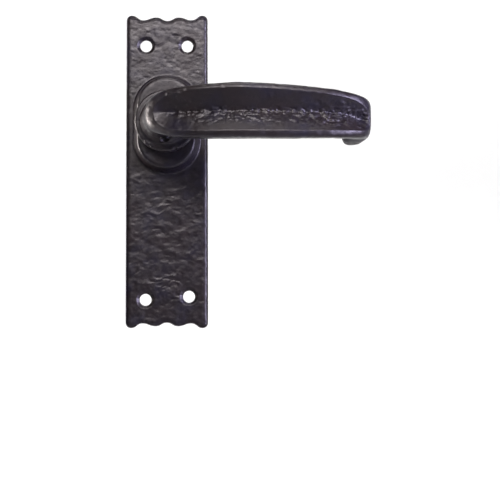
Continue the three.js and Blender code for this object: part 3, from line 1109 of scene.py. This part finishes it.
    def build(self) -> bpy.types.Object:
        """Makes the casting and puts it on the lever's body.

        Returns:
            The finished casting.
        """
        lever = combined(self.blade(), self.hollow(), "DIFFERENCE")
        lever = combined(lever, self.collar(), "UNION")
        lever = cast_skin(lever, self.grain, self.smoothing)
        lever.name = "forged_lever"
        self.weather(lever)
        lever = combined(lever, self.shank(), "UNION")
        half = self.socket / 2
        low = (-half, -1, self.spindle_z - half)
        high = (half, self.socket_end, self.spindle_z + half)
        lever = combined(lever, block("socket", low, high), "DIFFERENCE")
        lever = combined(lever, self.grub_hole(), "DIFFERENCE")
        dress(lever, self.iron, 50.0)
        hand_over(lever, Body.LEVER, Slot.IRON, "lever_handle")
        return lever

    def section(self, station: float) -> tuple[Array, Array, Array]:
        """Finds one section of the lever.

        Args:
            station: Where the section stands, counted in stations.

        Returns:
            Its door-side point, its far point, and its reach up and down.
        """
        inner, outer, reach = (curve.at(station) for curve in (self.inner, self.outer, self.reach))
        inner_point = np.array([inner[0], -self.collar_back - inner[1], self.spindle_z])
        outer_point = np.array([outer[0], -self.collar_back - outer[1], self.spindle_z])
        return inner_point, outer_point, reach

    def blade(self) -> bpy.types.Object:
        """Sweeps the neck, blade and rolled tip as one body: rounded towards the door, flat in front.

        Returns:
            The swept body.
        """

        def place(station: float, turns: Array) -> Array:
            """Gives one ring of the blade.

            Args:
                station: Where the ring stands.
                turns: The angles round it.

            Returns:
                The ring's corners in millimetres.
            """
            inner, outer, (up, down, _) = self.section(station)
            back, front, _ = self.corners.at(station)
            across, high = np.sin(turns), np.cos(turns)
            corner = np.where(across > 0, back, front)
            soft_across = np.sign(across) * np.abs(across) ** corner
            soft_high = np.sign(high) * np.abs(high) ** corner
            ring = inner + np.outer(0.5 - 0.5 * soft_across, outer - inner)
            ring[:, 2] += soft_high * np.where(high > 0, up, down)
            return ring

        last = len(self.stations) - 1
        rings = np.linspace(0, last, self.rings_a_station * last)
        return swept("blade", rings, self.blade_sides, place)

    def hollow(self) -> bpy.types.Object:
        """Sweeps the cutter for the hollow front: a valley with one round end and one that slopes down.

        Returns:
            The cutter.
        """

        def place(station: float, turns: Array) -> Array:
            """Gives one ring of the cutter.

            Args:
                station: Where the ring stands.
                turns: The angles round it.

            Returns:
                The ring's corners in millimetres.
            """
            opening = arch((station - self.hollow_from) / (self.hollow_open - self.hollow_from))
            above = arch((self.hollow_to - station) / (self.hollow_to - self.close_above))
            below = arch((self.hollow_to - station) / (self.hollow_to - self.close_below))
            sag = self.hollow_sag * min(max((station - self.sag_from) / self.sag_over, 0.0), 1.0) ** 1.5
            along = [self.hollow_from, *self.rim_thins, self.close_above, self.hollow_to]
            widths = [self.rim_start, self.rim_top, self.rim_top, self.rim_tip, self.rim_tip]
            rim = float(np.interp(station, along, widths))
            inner, outer, (up, down, _) = self.section(station)
            outward = (outer - inner) / np.linalg.norm(outer - inner)
            across, high = np.sin(turns), np.cos(turns)
            size = np.abs(across) + np.abs(high)
            deep = 0.04 + 0.96 * opening**0.6 * (above * below) ** 0.3
            ring = outer + np.outer(-across / size * self.hollow_depth * deep, outward)
            top = (up - rim + sag) * (0.03 + 0.97 * opening * above)
            bottom = (down - self.rim_bottom - sag) * (0.03 + 0.97 * opening * below)
            ring[:, 2] += high / size * np.where(high > 0, top, bottom) - sag
            return ring

        rings = np.linspace(self.hollow_from, self.hollow_to, self.hollow_rings)
        return swept("hollow", rings, self.hollow_sides, place)

    def collar(self) -> bpy.types.Object:
        """Turns the round collar that faces the boss.

        Returns:
            The collar.
        """
        radius, edge, chamfer = self.collar_radius, self.collar_edge, self.collar_chamfer
        back, front = self.collar_back, self.collar_back + self.collar_thickness
        profile = [(0.0, back), (radius - chamfer, back), (radius, back + chamfer)]
        for turn in np.linspace(0, math.pi / 2, 6):
            profile.append((radius - edge * (1 - math.cos(turn)), front - edge * (1 - math.sin(turn))))
        profile.append((0.0, front))
        return turned("collar", profile, self.spindle_z)

    def shank(self) -> bpy.types.Object:
        """Turns the machined shank behind the collar, with the clip's groove and the cam's two flats.

        Returns:
            The shank.
        """
        radius, floor = self.shank_radius, self.shank_radius - self.groove_depth
        front = self.collar_back + self.shank_overlap
        near_groove, far_groove = self.groove
        profile = [
            (0.0, self.shank_back),
            (radius - self.shank_lead, self.shank_back),
            (radius, self.shank_back + self.shank_lead),
            (radius, near_groove),
            (floor, near_groove),
            (floor, far_groove),
            (radius, far_groove),
            (radius, front),
            (0.0, front),
        ]
        shank = turned("shank", profile, self.spindle_z)
        for side in (-1, 1):
            near, far = sorted((side * (radius - self.flat_depth), side * 2 * radius))
            low = (near, -1, self.spindle_z - 2 * radius)
            high = (far, self.flat_height, self.spindle_z + 2 * radius)
            shank = combined(shank, block("flat", low, high), "DIFFERENCE")
        return shank

    def grub_hole(self) -> bpy.types.Object:
        """Makes the cutter for the grub screw's hole, which comes up into the socket from below.

        Returns:
            The cutter.
        """

        def place(station: float, turns: Array) -> Array:
            """Gives one ring of the cutter.

            Args:
                station: Height of the ring up the plate, in millimetres.
                turns: The angles round it.

            Returns:
                The ring's corners in millimetres.
            """
            ring = np.zeros((len(turns), 3))
            ring[:, 0] = self.grub_radius * np.cos(turns)
            ring[:, 1] = self.grub_radius * np.sin(turns) - self.grub_height
            ring[:, 2] = station
            return ring

        return swept("grub_hole", np.array([self.spindle_z - 25, self.spindle_z]), 40, place)

    def front_height(self, x: Array) -> Array:
        """Finds the height of the blade's front rail over each place along it.

        Args:
            x: Places across the door in millimetres.

        Returns:
            Heights above the door in millimetres.
        """
        stations = np.linspace(3, 13, 120)
        rail = np.array([self.outer.at(s) for s in stations])
        return self.collar_back + np.interp(x, rail[:, 0], rail[:, 1])

    def weather(self, lever: bpy.types.Object) -> None:
        """Gives the skin its lumps, the valley its hammered band and the rims their chips.

        Args:
            lever: The smooth casting, whose points are moved.
        """
        points, normals = read_mesh(lever.data)
        points = fitted(points, "lever_handle", (0,))
        x, up = points[:, 0], points[:, 2] - self.spindle_z
        below_rim = self.front_height(x) + points[:, 1]
        facing = smooth_step(*self.facing, -normals[:, 1])
        valley = facing * smooth_step(*self.valley_depth, below_rim) * (x > self.valley_from)
        band = valley * smooth_step(*self.band_bottom, up) * smooth_step(*self.band_top, up)
        band *= smooth_step(*self.band_start, x)
        ridge = valley * smooth_step(*self.ridge_width, np.abs(up + self.ridge_drop))
        ridge *= smooth_step(*self.ridge_start, x)
        knobs = valley * smooth_step(*self.knobs_start, x)
        streaks = np.clip(0.55 + 0.8 * self.streaks.at(points), 0, 1)
        pecks = np.clip(self.pecks.at(points), -0.8, 1)
        skin = 0.5 + 0.5 * self.skin.at(points)
        pores = 0.5 + 0.5 * self.pores.at(points)
        depth = self.skin_depth * skin + self.pore_depth * pores
        depth -= self.peck_height * band * pecks * (0.4 + 0.6 * streaks)
        depth -= self.ridge_height * ridge * (0.3 + self.ridge.at(points))
        depth -= self.knob_height * knobs * self.knobs.at(points)
        rim = facing * smooth_step(*self.rim_depth, below_rim) * smooth_step(*self.rim_above, up)
        rim *= smooth_step(*self.rim_end, x) * (x > self.rim_from)
        depth += self.rim_chip_depth * rim * smooth_step(0.2, 0.6, self.rim_chips.at(points))
        chips = smooth_step(0.0, 0.5, self.collar_chips.at(points))
        depth += self.collar_chip_depth * self.collar_rim(points) * chips
        write_mesh(lever.data, points - normals * depth[:, None])

    def collar_rim(self, points: Array) -> Array:
        """Finds the part of the collar's front rim that is chipped: the left and lower side.

        Args:
            points: Places in millimetres, one row each.

        Returns:
            A share from 0 to 1 for each place.
        """
        x, up = points[:, 0], points[:, 2] - self.spindle_z
        around = np.degrees(np.arctan2(up, x)) % 360
        front = self.collar_back + self.collar_thickness
        band = smooth_step(*(self.collar_radius - inside for inside in self.collar_band), np.hypot(x, up))
        face = smooth_step(*(front - behind for behind in self.collar_face), -points[:, 1])
        arc = (around > self.collar_chip_arc[0]) * (around < self.collar_chip_arc[1])
        return band * (-points[:, 1] < front + 0.5) * face * arc


# ---------- the spring ----------


@dataclass
class ReturnSpring:
    """The torsion spring round the shank: wire wound by Geometry Nodes along its path."""

    steel: bpy.types.Material
    spindle_z: float = 22.5
    radius: float = 9.5
    leg_end: float = 11.6
    wire_radius: float = 0.6
    first_coil: float = 5.2
    last_coil: float = 8.4
    moving_leg: float = 73.5
    fixed_leg: float = 123.1
    full_turns: int = 2
    path_steps: int = 260
    leg_bend: float = 0.7
    coil_bends: Span = (0.6, 0.15)
    leg_lead: float = 0.7
    wire_step: float = 0.5
    wire_sides: int = 20

    def path(self) -> Array:
        """Draws the wire's centre line: a leg, the coil and the other leg.

        Returns:
            The line's points in millimetres, one row each.
        """
        sweep = math.radians(self.fixed_leg - self.moving_leg) + 2 * math.pi * self.full_turns
        along = np.linspace(0, 1, self.path_steps)
        angle = math.radians(self.moving_leg) + sweep * along
        height = self.first_coil + (self.last_coil - self.first_coil) * along
        radius = np.full_like(along, self.radius)
        leg = [self.leg_end, self.leg_end - self.leg_bend, *(self.radius + bend for bend in self.coil_bends)]
        count = len(leg)
        radii = np.concatenate([leg, radius, leg[::-1]])
        lead = math.radians(self.leg_lead)
        angles = np.concatenate([np.full(count, angle[0] - lead), angle, np.full(count, angle[-1] + lead)])
        heights = np.concatenate([np.full(count, height[0]), height, np.full(count, height[-1])])
        rise = self.spindle_z + radii * np.sin(angles)
        return np.stack([radii * np.cos(angles), -heights, rise], axis=1)

    def winding(self) -> bpy.types.NodeTree:
        """Builds the node tree that turns a line into round wire of a given size.

        Returns:
            The node tree.
        """
        tree = bpy.data.node_groups.new("wound_wire", "GeometryNodeTree")
        tree.interface.new_socket("Geometry", in_out="INPUT", socket_type="NodeSocketGeometry")
        tree.interface.new_socket("Wire radius", in_out="INPUT", socket_type="NodeSocketFloat")
        tree.interface.new_socket("Step", in_out="INPUT", socket_type="NodeSocketFloat")
        tree.interface.new_socket("Finish", in_out="INPUT", socket_type="NodeSocketMaterial")
        tree.interface.new_socket("Geometry", in_out="OUTPUT", socket_type="NodeSocketGeometry")
        given = add_node(tree, "NodeGroupInput")
        line = add_node(tree, "GeometryNodeMeshToCurve", Mesh=(given, "Geometry"))
        even = add_node(
            tree,
            "GeometryNodeResampleCurve",
            {"mode": "LENGTH"},
            Curve=(line, "Curve"),
            Length=(given, "Step"),
        )
        ring = add_node(
            tree,
            "GeometryNodeCurvePrimitiveCircle",
            {"Resolution": self.wire_sides},
            Radius=(given, "Wire radius"),
        )
        wire = add_node(
            tree,
            "GeometryNodeCurveToMesh",
            {"Fill Caps": True},
            Curve=(even, "Curve"),
            Profile_Curve=(ring, "Curve"),
        )
        real = add_node(tree, "GeometryNodeRealizeInstances", Geometry=(wire, "Mesh"))
        finished = add_node(
            tree, "GeometryNodeSetMaterial", Geometry=(real, "Geometry"), Material=(given, "Finish")
        )
        add_node(tree, "NodeGroupOutput", Geometry=(finished, "Geometry"))
        return tree

    def build(self) -> bpy.types.Object:
        """Winds the spring, which sits between the plate and the lever on neither body.

        Returns:
            The finished spring.
        """
        path = self.path()
        mesh = bpy.data.meshes.new("spring_path")
        mesh.from_pydata((path * MM).tolist(), [(i, i + 1) for i in range(len(path) - 1)], [])
        spring = link_mesh("torsion_spring", mesh)
        tree = self.winding()
        modifier = spring.modifiers.new("winding", "NODES")
        modifier.node_group = tree
        values = {
            "Wire radius": self.wire_radius * MM,
            "Step": self.wire_step * MM,
            "Finish": self.steel,
        }
        for item in tree.interface.items_tree:
            if item.in_out == "INPUT" and item.name in values:
                modifier[item.identifier] = values[item.name]
        applied(spring)
        merge(spring.data, DOUBLES_GAP, True)
        dress(spring, self.steel, 60.0)
        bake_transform(spring)
        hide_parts("return_spring")
        LOG.info("%s: %d faces, between the bodies", spring.name, len(spring.data.polygons))
        return spring


# ---------- the small hardware ----------


@dataclass(frozen=True)
class SmallPiece:
    """One small machined, stamped or moulded piece, refined from its CAD solid."""

    name: str
    node: str
    body: Body
    slot: Slot
    edge_mm: float


@dataclass
class Hardware:
    """The bush, washers, cam, clip and grub screw."""

    finishes: dict[Slot, bpy.types.Material]
    flat_angle: float = 0.5
    edge_angle: float = 32.0
    pieces: tuple[SmallPiece, ...] = (
        SmallPiece("flanged_bush", "bearing_bush", Body.PLATE, Slot.NYLON, 0.15),
        SmallPiece("thin_collar_washer", "collar_washer", Body.LEVER, Slot.ZINC, 0.08),
        SmallPiece("spring_cam", "drive_cam", Body.LEVER, Slot.ZINC, 0.15),
        SmallPiece("plain_back_washer", "back_washer", Body.LEVER, Slot.ZINC, 0.12),
        SmallPiece("shank_circlip", "retaining_clip", Body.LEVER, Slot.SPRING, 0.1),
        SmallPiece("spindle_grub_screw", "grub_screw", Body.LEVER, Slot.BLACKED, 0.18),
    )

    def build(self) -> None:
        """Makes each piece from its CAD solid: flat faces whole again, edges eased, round sides smooth."""
        for piece in self.pieces:
            obj = cad_copy(piece.name, piece.node)
            work = bmesh.new()
            work.from_mesh(obj.data)
            flat = math.radians(self.flat_angle)
            bmesh.ops.dissolve_limit(work, angle_limit=flat, verts=work.verts, edges=work.edges)
            work.to_mesh(obj.data)
            work.free()
            ease = obj.modifiers.new("ease", "BEVEL")
            ease.width = piece.edge_mm * MM
            ease.segments = 2
            ease.limit_method = "ANGLE"
            ease.angle_limit = math.radians(self.edge_angle)
            applied(obj)
            dress(obj, self.finishes[piece.slot], self.edge_angle)
            hand_over(obj, piece.body, piece.slot, piece.node)


# ---------- studio ----------


@dataclass(frozen=True)
class SoftBox:
    """One soft light: its place and target, its size and power, and how widely it throws, in degrees."""

    name: str
    place: tuple[float, float, float]
    target: tuple[float, float, float]
    size: tuple[float, float]
    watts: float
    tint: str = "ffffff"
    spread: float = 180.0


@dataclass
class Studio:
    """The pale room, its soft lights and the camera."""

    floor_drop: float = 0.35
    half_width: float = 4.0
    near: float = -3.0
    depth: float = 1.6
    bend: float = 0.5
    wall_top: float = 3.5
    fill: float = 0.02
    seen: float = 0.9
    lens: float = 118.8
    distance: float = 0.8
    look_up: float = 3.0
    aim: tuple[float, float, float] = (0.04015, 0.0, -0.03815)
    lights: tuple[SoftBox, ...] = (
        SoftBox("front_box", (0.0, -0.38, 0.22), (0.0, 0.0, 0.07), (0.5, 0.16), 0.72, "fff6f8", 100.0),
        SoftBox("top_box", (0.05, -0.1, 0.6), (0.03, -0.03, 0.0), (0.4, 0.2), 0.4, "fff8f6", 100.0),
        SoftBox("right_box", (0.56, -0.26, 0.02), (0.08, -0.03, 0.0), (0.3, 0.36), 1.5, "dcd4fb", 80.0),
        SoftBox("left_box", (-0.6, 0.16, 0.0), (0.0, -0.03, 0.02), (0.24, 0.3), 1.0, "fff4f0", 80.0),
        SoftBox("rear_box", (0.1, 1.0, 0.9), (0.0, 0.2, -0.1), (0.8, 0.4), 0.6, "ffffff", 120.0),
        SoftBox("floor_wash", (0.0, -2.2, 1.2), (0.0, -2.4, -0.35), (2.6, 0.8), 9.0, "ffffff", 110.0),
        SoftBox("wall_wash", (0.0, 0.9, 1.5), (0.0, 1.6, 0.2), (2.6, 0.4), 20.0, "ffffff", 110.0),
    )

    def build(self) -> None:
        """Sets up the room, lights, surroundings and camera."""
        self.room()
        for light in self.lights:
            self.soft_box(light)
        self.surroundings()
        self.camera()

    def room(self) -> None:
        """Lays a pale floor that sweeps up into a pale wall behind."""
        start, bend = self.depth - self.bend, self.bend
        line = [(self.near, 0.0), (start, 0.0)]
        for angle in np.linspace(0, math.pi / 2, 12)[1:]:
            line.append((start + bend * math.sin(angle), bend - bend * math.cos(angle)))
        line.append((self.depth, self.wall_top))
        sides = (-self.half_width, self.half_width)
        corners = [(x, y, z - self.floor_drop) for y, z in line for x in sides]
        faces = [(2 * i, 2 * i + 1, 2 * i + 3, 2 * i + 2) for i in range(len(line) - 1)]
        mesh = bpy.data.meshes.new("pale_sweep")
        mesh.from_pydata(corners, [], faces)
        sweep = link_mesh("pale_sweep", mesh)
        sweep.data.shade_smooth()
        material, tree, place = new_material("pale painted board")
        mottle = add_node(
            tree, "ShaderNodeTexNoise", {"Scale": 2.0, "Detail": 1.0}, Vector=(place, "Object")
        )
        tint = add_node(
            tree,
            "ShaderNodeMix",
            {"data_type": "RGBA", 6: colour("fbfbfb"), 7: colour("ffffff")},
            input_0=(mottle, "Fac"),
        )
        shader = add_node(tree, "ShaderNodeBsdfPrincipled", {"Roughness": 0.9}, Base_Color=(tint, 2))
        close_material(tree, shader)
        sweep.data.materials.append(material)

    def soft_box(self, box: SoftBox) -> None:
        """Hangs one soft light and turns it to its target.

        Args:
            box: The light.
        """
        data = bpy.data.lights.new(box.name, "AREA")
        data.shape = "RECTANGLE"
        data.size, data.size_y = box.size
        data.energy = box.watts
        data.color = colour(box.tint)[:3]
        data.spread = math.radians(box.spread)
        light = bpy.data.objects.new(box.name, data)
        light.location = box.place
        throw = Vector(box.target) - Vector(box.place)
        light.rotation_euler = throw.to_track_quat("-Z", "Y").to_euler()
        light.visible_camera = False
        bpy.context.scene.collection.objects.link(light)

    def surroundings(self) -> None:
        """Surrounds the room with white that is seen behind it but lights it only faintly."""
        world = bpy.data.worlds.new("pale_room")
        world.use_nodes = True
        tree = world.node_tree
        tree.nodes.clear()
        path = add_node(tree, "ShaderNodeLightPath")
        strength = add_node(
            tree,
            "ShaderNodeMapRange",
            {"To Min": self.fill, "To Max": self.seen},
            Value=(path, "Is Camera Ray"),
        )
        shader = add_node(
            tree, "ShaderNodeBackground", {"Color": colour("f4f4f6")}, Strength=(strength, "Result")
        )
        add_node(tree, "ShaderNodeOutputWorld", Surface=(shader, "Background"))
        bpy.context.scene.world = world

    def camera(self) -> None:
        """Looks at the handle from in front and a little below."""
        data = bpy.data.cameras.new("camera")
        data.lens = self.lens
        data.sensor_width = 36.0
        data.clip_start = 0.05
        camera = bpy.data.objects.new("camera", data)
        tilt = math.radians(self.look_up)
        away = Vector((0.0, -math.cos(tilt), -math.sin(tilt))) * self.distance
        camera.location = Vector(self.aim) + away
        camera.rotation_euler = (-away).to_track_quat("-Z", "Y").to_euler()
        bpy.context.scene.collection.objects.link(camera)
        bpy.context.scene.camera = camera
        bpy.context.scene.view_settings.view_transform = "Standard"


def main() -> None:
    """Builds the handle piece by piece, then its studio."""
    logging.basicConfig(level=logging.INFO, format="%(name)s %(message)s")
    Studio().build()
    iron = BlackenedCastIron().material()
    finishes = {
        Slot.NYLON: MouldedNylon().material(),
        Slot.ZINC: ZincPlatedSteel().material(),
        Slot.SPRING: DrawnSpringSteel().material(),
        Slot.BLACKED: BlackOxideSteel().material(),
    }
    Backplate(iron).build()
    Lever(iron).build()
    ReturnSpring(finishes[Slot.SPRING]).build()
    Hardware(finishes).build()


if __name__ == "__main__":
    main()
